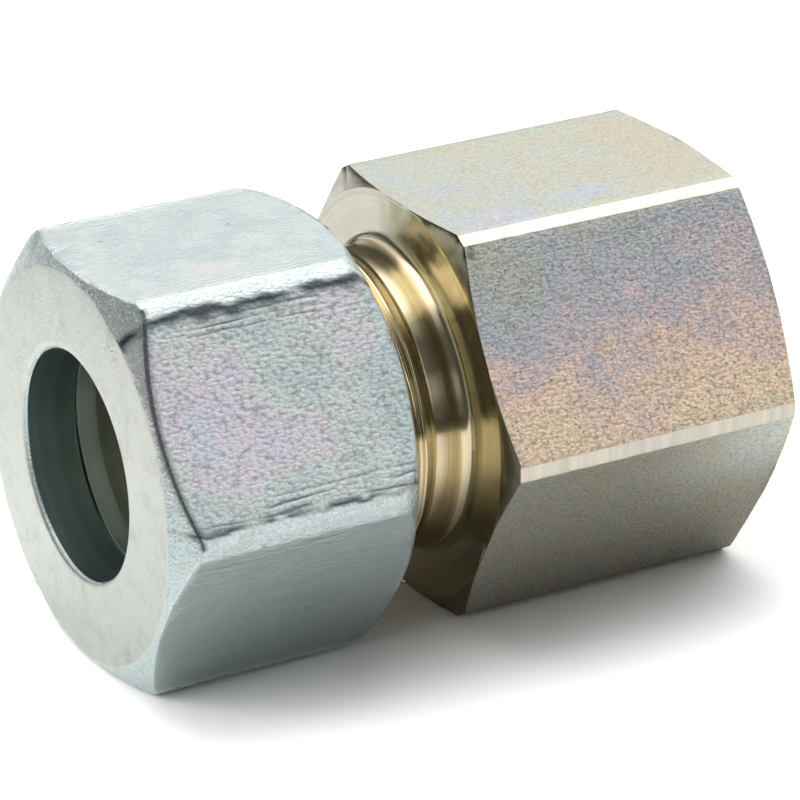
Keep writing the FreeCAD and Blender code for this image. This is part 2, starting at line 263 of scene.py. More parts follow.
class Tree:
    """Short way to add and join the nodes of one material, world or group."""

    def __init__(self, tree):
        self.tree = tree

    def join(self, value, socket):
        """Gives an input its value: another node's output, or a number or colour."""
        if isinstance(value, bpy.types.NodeSocket):
            self.tree.links.new(value, socket)
        else:
            socket.default_value = value

    def add(self, kind, inputs=None, **settings):
        node = self.tree.nodes.new(kind)
        for key, value in settings.items():
            setattr(node, key, value)
        for key, value in (inputs or {}).items():
            self.join(value, node.inputs[key])
        return node

    def math(self, operation, *values):
        node = self.add("ShaderNodeMath", dict(enumerate(values)), operation=operation)
        return node.outputs[0]

    def noise(self, vector, scale, detail=2.0, roughness=0.5):
        values = {"Vector": vector, "Scale": scale, "Detail": detail, "Roughness": roughness}
        return self.add("ShaderNodeTexNoise", values).outputs["Fac"]

    def span(self, value, low, high, to_low=0.0, to_high=1.0):
        """Takes a value from one span to another, held at the ends."""
        inputs = {"Value": value, 1: low, 2: high, 3: to_low, 4: to_high}
        return self.add("ShaderNodeMapRange", inputs).outputs[0]

    def mix(self, factor, first, second, blend="MIX"):
        node = self.add("ShaderNodeMix", {"Factor": factor}, data_type="RGBA", blend_type=blend)
        for key, value in ((6, first), (7, second)):
            is_socket = isinstance(value, bpy.types.NodeSocket)
            self.join(value if is_socket else (*value, 1.0), node.inputs[key])
        return node.outputs[2]

    def ramp(self, value, stops):
        node = self.add("ShaderNodeValToRGB", {"Fac": value})
        elements = node.color_ramp.elements
        while len(elements) < len(stops):
            elements.new(1.0)
        for element, (place, colour) in zip(elements, stops):
            element.position = place
            element.color = (*colour, 1.0)
        return node.outputs["Color"]

    def scaled(self, vector, by):
        values = {0: vector, 1: by}
        return self.add("ShaderNodeVectorMath", values, operation="MULTIPLY").outputs[0]


def empty_tree(owner):
    """The tree of a material or world, without its first nodes."""
    owner.use_nodes = True
    owner.node_tree.nodes.clear()
    return Tree(owner.node_tree)


def node_group(name, inputs, outputs):
    """An empty shader node group: each input is (name, kind, default), each output (name, kind)."""
    group = bpy.data.node_groups.new(name, "ShaderNodeTree")
    for label, kind, default in inputs:
        socket = group.interface.new_socket(label, in_out="INPUT", socket_type=kind)
        if default is not None:
            socket.default_value = default
    for label, kind in outputs:
        group.interface.new_socket(label, in_out="OUTPUT", socket_type=kind)
    tree = Tree(group)
    return group, tree, tree.add("NodeGroupInput").outputs, tree.add("NodeGroupOutput").inputs


def film_group():
    """Passivation film: its thickness from 0 to 1, uneven in patches and from grain to grain."""
    group, tree, given, out = node_group(
        "Passivation film",
        [("Vector", "NodeSocketVector", None), ("Thickness", "NodeSocketFloat", 0.3),
         ("Patch scale", "NodeSocketFloat", 0.25), ("Patches", "NodeSocketFloat", 0.5),
         ("Grain scale", "NodeSocketFloat", 3.0), ("Grains", "NodeSocketFloat", 0.3)],
        [("Thickness", "NodeSocketFloat")])
    broad = tree.noise(given["Vector"], given["Patch scale"], 4.0, 0.6)
    fine = tree.noise(given["Vector"], given["Grain scale"], 2.0, 0.7)
    broad = tree.math("MULTIPLY", tree.math("SUBTRACT", broad, 0.5), given["Patches"])
    fine = tree.math("MULTIPLY", tree.math("SUBTRACT", fine, 0.5), given["Grains"])
    total = tree.math("ADD", given["Thickness"], tree.math("ADD", broad, fine))
    tree.join(total, out["Thickness"])
    return group


def grit_group():
    """Rough skin: uneven ground, pebbles on it that are highest at their middles, and streaks along
    the axis, as a height of about 0 to 1."""
    group, tree, given, out = node_group(
        "Grit",
        [("Vector", "NodeSocketVector", None), ("Grain scale", "NodeSocketFloat", 3.0),
         ("Streaks", "NodeSocketFloat", 0.3)],
        [("Height", "NodeSocketFloat")])
    grains = tree.scaled(given["Vector"], (0.6, 1.0, 1.0))
    coarse = tree.noise(grains, given["Grain scale"], 5.0, 0.68)
    cells = tree.add("ShaderNodeTexVoronoi", {"Vector": grains, "Scale": given["Grain scale"]})
    pebbles = tree.math("MULTIPLY", tree.math("SUBTRACT", 0.45, cells.outputs["Distance"]), 0.5)
    drawn = tree.scaled(given["Vector"], (0.12, 1.0, 1.0))
    streaks = tree.noise(drawn, given["Grain scale"], 2.0, 0.5)
    height = tree.math("ADD", coarse, tree.math("MULTIPLY", streaks, given["Streaks"]))
    height = tree.math("ADD", height, pebbles)
    tree.join(height, out["Height"])
    return group


def pits_group():
    """Scattered pits: a mask that rises to 1 at the middles of a few cells and is 0 elsewhere."""
    group, tree, given, out = node_group(
        "Pits",
        [("Vector", "NodeSocketVector", None), ("Cell scale", "NodeSocketFloat", 1.0),
         ("Share", "NodeSocketFloat", 0.4), ("Radius", "NodeSocketFloat", 0.25)],
        [("Mask", "NodeSocketFloat")])
    uneven = tree.add("ShaderNodeTexNoise", {"Vector": given["Vector"], "Scale": 3.0}).outputs["Color"]
    bent = tree.add("ShaderNodeVectorMath", {0: given["Vector"], 1: tree.scaled(uneven, (0.35,) * 3)},
                    operation="ADD").outputs[0]
    cell = tree.add("ShaderNodeTexVoronoi", {"Vector": bent, "Scale": given["Cell scale"]})
    chance = tree.add("ShaderNodeSeparateColor", {0: cell.outputs["Color"]}).outputs[0]
    chosen = tree.math("LESS_THAN", chance, given["Share"])
    near = tree.span(cell.outputs["Distance"], given["Radius"], 0.0)
    tree.join(tree.math("MULTIPLY", near, chosen), out["Mask"])
    return group


def turning_group():
    """Tool marks of a lathe: rings round the axis, by radius on a face and by distance on a side."""
    group, tree, given, out = node_group(
        "Turning marks",
        [("Vector", "NodeSocketVector", None), ("Rings per mm", "NodeSocketFloat", 6.0),
         ("On a face", "NodeSocketFloat", 0.0)],
        [("Height", "NodeSocketFloat"), ("Tone", "NodeSocketFloat")])
    part = tree.add("ShaderNodeSeparateXYZ", {0: given["Vector"]}).outputs
    radius = tree.math("POWER", tree.math(
        "ADD", tree.math("MULTIPLY", part[1], part[1]), tree.math("MULTIPLY", part[2], part[2])), 0.5)
    face_share = tree.math("MULTIPLY", radius, given["On a face"])
    side_share = tree.math("MULTIPLY", part[0], tree.math("SUBTRACT", 1.0, given["On a face"]))
    place = tree.math("ADD", face_share, side_share)
    ring = tree.add("ShaderNodeCombineXYZ", {0: place}).outputs[0]
    fine = tree.noise(ring, given["Rings per mm"], 3.0, 0.8)
    broad = tree.noise(ring, 0.8, 2.0, 0.5)
    tree.join(fine, out["Height"])
    tree.join(broad, out["Tone"])
    return group


GROUPS = {}


def shared(name):
    """One of the shared groups, made once."""
    makers = {"film": film_group, "grit": grit_group, "pits": pits_group, "turning": turning_group}
    if name not in GROUPS:
        GROUPS[name] = makers[name]()
    return GROUPS[name]


def new_material(name):
    """A material with one Principled BSDF, and its place in millimetres as a vector."""
    material = bpy.data.materials.new(name)
    tree = empty_tree(material)
    shader = tree.add("ShaderNodeBsdfPrincipled", {"Metallic": 1.0})
    output = tree.add("ShaderNodeOutputMaterial")
    tree.join(shader.outputs[0], output.inputs["Surface"])
    place = tree.add("ShaderNodeTexCoord").outputs["Object"]
    return material, tree, shader, tree.scaled(place, (1 / MM,) * 3)


def placed_group(tree, name, **values):
    """Puts one of the shared groups into a tree."""
    node = tree.add("ShaderNodeGroup", node_tree=shared(name))
    for key, value in values.items():
        tree.join(value, node.inputs[key.replace("_", " ")])
    return node.outputs


def bump(tree, height, depth, before=None):
    """A bump whose full height is the depth, in millimetres."""
    values = {"Height": height, "Distance": depth * MM, "Strength": 1.0}
    if before is not None:
        values["Normal"] = before
    return tree.add("ShaderNodeBump", values).outputs["Normal"]


# Colours of the film as it thickens, as (thickness, red, green, blue)
BAR_COLOURS = (
    (0.0, 0.66, 0.645, 0.585), (0.2, 0.99, 0.81, 0.58), (0.35, 0.92, 0.72, 0.61), (0.5, 0.72, 0.63, 0.66),
    (0.65, 0.57, 0.61, 0.67), (0.8, 0.60, 0.63, 0.56), (1.0, 0.64, 0.60, 0.48),
)
# The first stop, which the nut's lower flat takes, is dark partly as painted shade
NUT_COLOURS = (
    (0.0, 0.54, 0.66, 0.65), (0.25, 0.78, 0.84, 0.83), (0.45, 0.96, 0.76, 0.86), (0.6, 0.84, 0.76, 0.96),
    (0.75, 0.74, 0.86, 0.96), (0.9, 0.98, 0.88, 0.70), (1.0, 0.82, 0.92, 0.76),
)
STRIP_COLOURS = (
    (0.0, 0.68, 0.66, 0.57), (0.35, 0.69, 0.65, 0.54), (0.5, 0.67, 0.60, 0.55), (0.75, 0.63, 0.65, 0.56),
    (1.0, 0.68, 0.61, 0.54),
)
# The last stop, which the end faces' front corners take, is near-black brown partly as painted shade
FACE_COLOURS = (
    (0.0, 0.62, 0.62, 0.56), (0.3, 0.60, 0.58, 0.47), (0.5, 0.62, 0.56, 0.35), (0.75, 0.52, 0.45, 0.28),
    (1.0, 0.26, 0.22, 0.15),
)
NECK_COLOURS = (
    (0.0, 0.76, 0.70, 0.50), (0.4, 0.84, 0.70, 0.46), (0.55, 0.84, 0.64, 0.50), (0.75, 0.72, 0.66, 0.42),
    (1.0, 0.82, 0.78, 0.64),
)
BORE_COLOURS = ((0.0, 0.50, 0.66, 0.68), (1.0, 0.60, 0.72, 0.70))
RING_COLOURS = ((0.0, 0.84, 0.90, 0.82), (0.5, 0.92, 0.95, 0.86), (1.0, 0.82, 0.88, 0.80))


def film_colour(tree, place, colours, **values):
    """The film's colour at each point of a material."""
    thickness = placed_group(tree, "film", Vector=place, **values)["Thickness"]
    return tree.ramp(thickness, [(entry[0], entry[1:]) for entry in colours])


def shaded(tree, colour, shade):
    """A colour times a shade, which is the same for red, green and blue."""
    grey = tree.add("ShaderNodeCombineColor", {0: shade, 1: shade, 2: shade}).outputs[0]
    return tree.mix(1.0, colour, grey, "MULTIPLY")


def forged_zinc(name, colour, depth, tint, stain):
    """Silver zinc on a forged skin: grainy on the flats and smoother on the edges, with die lines beside
    the long edges, a faint film in colours, dark scale that is partly a painted reflection, painted glints
    as specks, painted shade in the grit's hollows, dull stains, and painted shade and highlight from the
    shade attribute."""
    stain_tone, painted_hollow_shade_tone, pit_tone = (0.50, 0.50, 0.43), (0.14, 0.16, 0.18), (0.16, 0.16, 0.14)
    painted_glint_tone, scale_and_dark_reflection_tone, line_tone = (0.98, 1.0, 1.0), (0.04, 0.055, 0.065), (0.14, 0.15, 0.16)
    material, tree, shader, place = new_material(name)
    values = {key: tree.add("ShaderNodeAttribute", attribute_name=key).outputs["Fac"]
              for key in ("film", "grain", "edge", "across", "scale", "shade")}
    grit = placed_group(tree, "grit", Vector=place, Grain_scale=3.3, Streaks=0.2)
    pits = placed_group(tree, "pits", Vector=place, Cell_scale=0.45, Share=0.2, Radius=0.18)
    hue = film_colour(tree, place, NUT_COLOURS, Thickness=values["film"], Patch_scale=0.3, Patches=0.9,
                      Grain_scale=3.6, Grains=0.9)
    base = tree.mix(tint, colour, hue)
    dull = tree.span(tree.noise(place, 0.5, 6.0, 0.7), 0.48, 0.66, 0.0, stain)
    base = tree.mix(dull, base, stain_tone)
    # The shade attribute paints shade on the nut's lower and top flats and a highlight on its worn edges
    base = shaded(tree, base, values["shade"])
    # Painted shade in the hollows of the grit
    low = tree.span(grit["Height"], 0.6, 0.3)
    rugged = tree.math("POWER", values["grain"], 2.0)
    low = tree.math("MULTIPLY", tree.math("MULTIPLY", low, rugged), 0.5)
    base = tree.mix(low, base, painted_hollow_shade_tone)
    # Painted glints: white specks mixed into the colour
    painted_glints = tree.span(tree.noise(place, 6.0, 2.0, 0.6), 0.58, 0.72, 0.0, 0.3)
    base = tree.mix(painted_glints, base, painted_glint_tone)
    # Dark scale, partly real and partly a painted reflection of the dark room in front
    base = tree.mix(tree.math("MULTIPLY", values["scale"], 0.95), base, scale_and_dark_reflection_tone)
    base = tree.mix(tree.math("MULTIPLY", pits["Mask"], 0.5), base, pit_tone)
    # Die lines: waves across the flat, a little wavy along it, only near its long edges
    side = tree.math("ABSOLUTE", values["across"])
    bend = tree.math("MULTIPLY", tree.noise(tree.scaled(place, (0.2, 1, 1)), 0.5, 2.0), 1.6)
    ridge = tree.math("SINE", tree.math("MULTIPLY", tree.math("ADD", side, bend), 9.0))
    near = tree.math("MULTIPLY", tree.span(side, 6.2, 7.6), tree.span(side, 9.2, 8.6))
    broken = tree.span(tree.noise(tree.scaled(place, (0.25, 1, 1)), 0.7, 2.0), 0.42, 0.6)
    ridge = tree.math("MULTIPLY", tree.math("MULTIPLY", ridge, near), broken)
    ridge = tree.math("MULTIPLY", ridge, tree.span(values["edge"], 0.6, 0.2))
    line = tree.math("MULTIPLY", tree.span(ridge, 0.2, 0.8), 0.75)
    base = tree.mix(tree.math("MULTIPLY", line, values["grain"]), base, line_tone)
    tree.join(base, shader.inputs["Base Color"])
    skin = tree.span(values["grain"], 0.3, 1.0, 0.42, 0.56)
    worn = tree.span(grit["Height"], 0.35, 0.8, 0.34, 0.24)
    rough = tree.add("ShaderNodeMix", {0: values["edge"], 2: skin, 3: worn}).outputs[0]
    tree.join(rough, shader.inputs["Roughness"])
    calm = tree.span(values["edge"], 0.0, 1.0, 1.0, 0.7)
    height = tree.math("MULTIPLY", tree.math("MULTIPLY", grit["Height"], values["grain"]), calm)
    normal = bump(tree, height, depth)
    normal = bump(tree, tree.math("SUBTRACT", 1.0, pits["Mask"]), 0.05, normal)
    normal = bump(tree, tree.math("MULTIPLY", ridge, values["grain"]), -0.09, normal)
    tree.join(normal, shader.inputs["Normal"])
    return material


def machined_zinc(name, colours, roughness, patches, depth, mottle=0.0, on_face=0.0):
    """Plated turned steel: lathe rings in its height and tone, and the film's colours. On a face the
    film's thickness is the mesh's own, elsewhere it is even. Mottle makes it duller in clouds."""
    material, tree, shader, place = new_material(name)
    marks = placed_group(tree, "turning", Vector=place, Rings_per_mm=5.0, On_a_face=on_face)
    film = 0.35
    if on_face:
        film = tree.add("ShaderNodeAttribute", attribute_name="film").outputs["Fac"]
    base = film_colour(tree, place, colours, Thickness=film, Patch_scale=0.16, Patches=patches,
                       Grain_scale=1.1, Grains=0.12)
    base = shaded(tree, base, tree.span(marks["Tone"], 0.35, 0.65, 0.8, 1.0))
    base = shaded(tree, base, tree.span(marks["Height"], 0.3, 0.6, 0.85, 1.0))
    tree.join(base, shader.inputs["Base Color"])
    cloud = tree.noise(place, 0.3, 4.0, 0.65)
    dull = tree.span(cloud, 0.42, 0.62, roughness, roughness + 0.3 * mottle)
    tree.join(dull, shader.inputs["Roughness"])
    tree.join(bump(tree, marks["Height"], depth), shader.inputs["Normal"])
    return material


def bar_zinc(depth):
    """Yellow zinc on the drawn bar: fine pits all over, grain and broad patches of colour, with painted
    glints as specks, painted shade in the grit's hollows, and painted shade and reflection from the shade
    attribute.
    """
    painted_glint_tone, painted_hollow_shade_tone, pit_tone = (1.0, 0.98, 0.92), (0.22, 0.20, 0.16), (0.12, 0.11, 0.08)
    material, tree, shader, place = new_material("bar_yellow_zinc")
    grit = placed_group(tree, "grit", Vector=place, Grain_scale=4.0, Streaks=0.2)
    pits = placed_group(tree, "pits", Vector=place, Cell_scale=2.4, Share=0.6, Radius=0.34)
    film = tree.add("ShaderNodeAttribute", attribute_name="film").outputs["Fac"]
    grain = tree.add("ShaderNodeAttribute", attribute_name="grain").outputs["Fac"]
    shade = tree.add("ShaderNodeAttribute", attribute_name="shade").outputs["Fac"]
    base = film_colour(tree, place, BAR_COLOURS, Thickness=film, Patch_scale=0.26, Patches=0.6,
                       Grain_scale=2.6, Grains=0.6)
    # The shade attribute paints shade on the lower flat, and a reflection of the lit floor near the port
    base = shaded(tree, base, shade)
    # Painted glints: white specks mixed into the colour
    painted_glints = tree.span(tree.noise(place, 6.0, 2.0, 0.6), 0.6, 0.74, 0.0, 0.3)
    base = tree.mix(painted_glints, base, painted_glint_tone)
    # Painted shade in the hollows of the grit
    low = tree.math("MULTIPLY", tree.span(grit["Height"], 0.68, 0.36), grain)
    base = tree.mix(tree.math("MULTIPLY", low, 0.5), base, painted_hollow_shade_tone)
    pitted = tree.math("MULTIPLY", pits["Mask"], tree.math("MULTIPLY", grain, 0.75))
    base = tree.mix(pitted, base, pit_tone)
    tree.join(base, shader.inputs["Base Color"])
    shader.inputs["Roughness"].default_value = 0.58
    normal = bump(tree, tree.math("MULTIPLY", grit["Height"], grain), depth)
    sunk = tree.math("SUBTRACT", 1.0, tree.math("MULTIPLY", pits["Mask"], grain))
    tree.join(bump(tree, sunk, 0.06, normal), shader.inputs["Normal"])
    return material


# Pieces

# Soft patches where the film on the bar is thinner (less) or thicker (more) than round about, as
# (flat's angle, x, distance across the flat, reach along, reach across, amount)
BAR_FILM = (
    (150, 12.8, 6.5, 4.0, 3.2, -0.12), (150, 31.0, 7.5, 5.0, 3.6, -0.08), (150, 22.0, -4.5, 6.0, 4.5, 0.06),
    (150, 33.5, -7.0, 3.0, 3.0, -0.10), (150, 11.5, -5.0, 4.0, 5.0, 0.2), (150, 20.5, 8.5, 3.0, 2.0, 0.12),
    (90, 15.0, -2.0, 4.0, 3.5, -0.1), (90, 27.0, 1.0, 4.0, 4.0, 0.08), (90, 14.0, 7.5, 4.0, 1.6, -0.3),
    (90, 34.0, 0.0, 4.0, 7.0, 0.15), (90, 23.0, 6.5, 3.0, 1.6, -0.2), (210, 36.0, -7.0, 6.0, 4.0, -0.1),
)
# Pits and the nick in the bar, as (x, y, z, radius, depth)
BAR_DENTS = (
    (9.3, -11.3, 16.7, 0.75, 0.42), (10.2, -11.2, 17.0, 0.45, 0.30), (33.1, -18.1, 4.7, 0.4, 0.25),
    (24.8, -18.6, 3.8, 0.35, 0.25),
)


def make_fitting_body(settings):
    """Body surface: hexagon, chamfers, neck, male thread, cone socket, bore and female thread."""
    bar, strip, face, turned, bored = range(5)
    corner_radius = settings.turned_corner / MM
    half = SIXTH / 2 - math.acos(FLAT / corner_radius)
    angle = section_angles(half, corner_columns=8, flat_columns=32)
    count = len(angle)
    side = np.minimum(hexagon_radius(angle), corner_radius)
    chamfer_rise, chamfer_run = 2.25, 0.7
    face_edge = np.minimum(side, corner_radius - chamfer_rise)
    chamfer = (side - face_edge) * chamfer_run / chamfer_rise
    pitch = settings.thread_pitch / MM
    crest, root, tip_step = 14.94, 13.74, 0.3
    tip_radius = root - tip_step
    neck, neck_length, fillet = 13.5, 3.8, 1.2
    neck_end = HEX_FACE - neck_length
    # The port: radii of its thread and mouth, the pitch, and depths of the mouth, thread and drill
    port_core, port_crest, port_mouth, port_pitch = 12.06, 13.2, 13.52, 1.814
    mouth_depth, thread_near, thread_far, drill_depth = 1.46, 1.5, 17.0, 20.0
    port_start, port_stop = PORT - thread_far, PORT - thread_near
    socket, flow, cone_mouth = 10.05, 8.0, 11.45
    cone = (cone_mouth - socket) / math.tan(math.radians(12))
    drill = PORT - drill_depth
    drill_start = drill - (port_core - flow) / math.tan(math.radians(59))
    outside = profile([
        (PORT, port_mouth, 0, 0, face), (PORT, face_edge, 0.15, 0.6, face),
        (PORT - chamfer, side, 0.12, 0.4, strip), (HEX_FACE + chamfer, side, 0.14, 0.45, bar),
        (HEX_FACE, face_edge, 0.1, 0.25, face), (HEX_FACE, neck, fillet, 0.35, face),
        (neck_end, neck, 0, 0.4, turned)], count)
    male = thread(TIP, neck_end, angle, pitch, root, crest, rows_per_pitch=16, fade=0.01)[::-1]
    # The thread is cut short by a cone at each end: shallow down to the neck, 45 degrees at the tip
    to_neck = neck + (neck_end - male[..., 0]) * math.tan(math.radians(30))
    to_tip = tip_radius + male[..., 0] - TIP
    male[..., 1] = np.minimum(male[..., 1], np.minimum(to_neck, to_tip))
    inside = profile([
        (TIP, tip_radius, 0, 0, turned),
        (TIP, cone_mouth, 0.1, 0.4, turned), (TIP + cone, socket, 0.1, 0.5, bored),
        (0.0, socket, 0.05, 0.5, bored), (0.0, flow, 0.2, 0.4, bored),
        (drill_start, flow, 0.1, 0.9, bored), (drill, port_core, 0.1, 0.4, bored),
        (port_start, port_core, 0, 0.5, bored)], count)
    female = thread(port_start, port_stop, angle, port_pitch, port_core, port_crest,
                    rows_per_pitch=10, fade=0.5)
    mouth = profile([
        (port_stop, port_core, 0, 0, bored), (PORT - mouth_depth, port_core, 0, 0.3, bored),
        (PORT, port_mouth, 0, 0.4, bored)], count)
    rows, finishes = joined([
        outside, (male[1:], np.full(len(male) - 1, turned)), (inside[0][1:], inside[1][1:]),
        (female[1:], np.full(len(female) - 1, bored)), (mouth[0][1:-1], mouth[1][1:-1])])
    points = lathe_points(rows, angle)
    labels = np.repeat(finishes[:, None], count, axis=1)
    corner = np.abs((angle + SIXTH / 2) % SIXTH - SIXTH / 2) < half * 0.98
    labels[:, corner] = np.where(labels[:, corner] == bar, strip, labels[:, corner])
    # Relief, always into the steel: a slight waviness of the flats, worn edges, pits and a nick
    radius = rows[..., 1]
    outer = (radius > 16.5)[..., None] & (rows[..., :1] > HEX_FACE - 0.01)
    near_edge = np.exp(-np.abs(rows[..., 0] - HEX_FACE - chamfer) / 0.35)
    flat, across = across_flat(angle, radius)
    relief = 0.012 * (1 + waves(points, 2.2, 11)) * (np.abs(across) < 9.6)
    relief += near_edge * 0.018 * np.maximum(waves(points, 0.9, 12), 0)
    relief += dents(points, BAR_DENTS)
    points = points - outward(points) * np.clip(relief, 0, 0.5)[..., None] * outer
    film = spots(rows[..., 0], across, flat, BAR_FILM)
    film += np.where(flat == 150, 0.47 - 0.024 * across, np.where(flat == 90, 0.86, 0.93))
    # On the end faces the film is thin behind and thick in front, most of all at the corners; the thickest
    # film's dark brown there is partly painted shade
    front = 1 / (1 + np.exp((0.14 + np.cos(angle)) / 0.12))
    faced = 0.25 + front * (0.4 + 0.35 * np.clip((radius - face_edge) / 0.4, 0, 1))
    film = np.where(labels == face, faced, film)
    grain = np.where(flat == 150, 1.0, np.where(flat == 90, 0.45, 0.7)) + 0 * radius
    # Painted shade on the lower flat in front, where it mirrors the floor in the object's shadow, and a
    # painted reflection of the lit floor towards the port and its upper edge
    painted_floor_reflection = 0.65 * np.exp(-((rows[..., 0] - 37) / 10) ** 2 - ((across + 8) / 6) ** 2)
    shade = np.where(flat == 210, 0.6 + painted_floor_reflection, 1.0)
    materials = [
        bar_zinc(settings.bar_depth / MM),
        machined_zinc("corner_strip_zinc", STRIP_COLOURS, roughness=0.22, patches=0.9, depth=0.012),
        machined_zinc("turned_face_yellow_zinc", FACE_COLOURS, roughness=0.15, patches=0.4, depth=0.006,
                      mottle=0.4, on_face=1.0),
        machined_zinc("turned_side_yellow_zinc", NECK_COLOURS, roughness=0.14, patches=0.3, depth=0.008),
        machined_zinc("bore_yellow_zinc", FACE_COLOURS, roughness=0.3, patches=0.5, depth=0.01,
                      mottle=0.2),
    ]
    values = {"film": film, "grain": grain, "shade": shade}
    piece = torus_mesh("fitting_body_surface", points, labels, materials, values)
    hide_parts("fitting_body")
    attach(piece, "fitting_body")
    return piece


# Patches of colour on the nut's forged flats, in the same order as for the bar
NUT_FILM = (
    (150, -17.5, -3.0, 6.0, 5.0, 0.36), (150, -13.0, 3.5, 7.0, 2.4, 0.42), (150, -4.0, -6.0, 3.0, 3.0, 0.3),
    (150, -19.0, 1.5, 2.5, 3.0, 0.25),
    (90, -14.0, 6.0, 5.0, 3.0, 0.15), (210, -12.0, 0.0, 7.0, 6.0, -0.1),
)
# Knocks along the nut's edges, as (x, y, z, radius, depth)
NUT_DENTS = (
    (-22.4, -17.5, -6.5, 1.3, 0.22), (-22.2, -15.6, -11.0, 1.5, 0.25), (-22.3, -13.2, -13.8, 1.1, 0.2),
    (-21.9, 4.0, 17.9, 1.1, 0.2), (-22.0, -1.5, 17.9, 0.8, 0.2), (-21.9, 8.5, 17.6, 1.0, 0.2),
    (-21.8, -9.6, 17.5, 0.8, 0.15), (0.4, -20.2, -0.8, 0.9, 0.2), (-21.4, -20.0, 1.5, 1.0, 0.2),
)


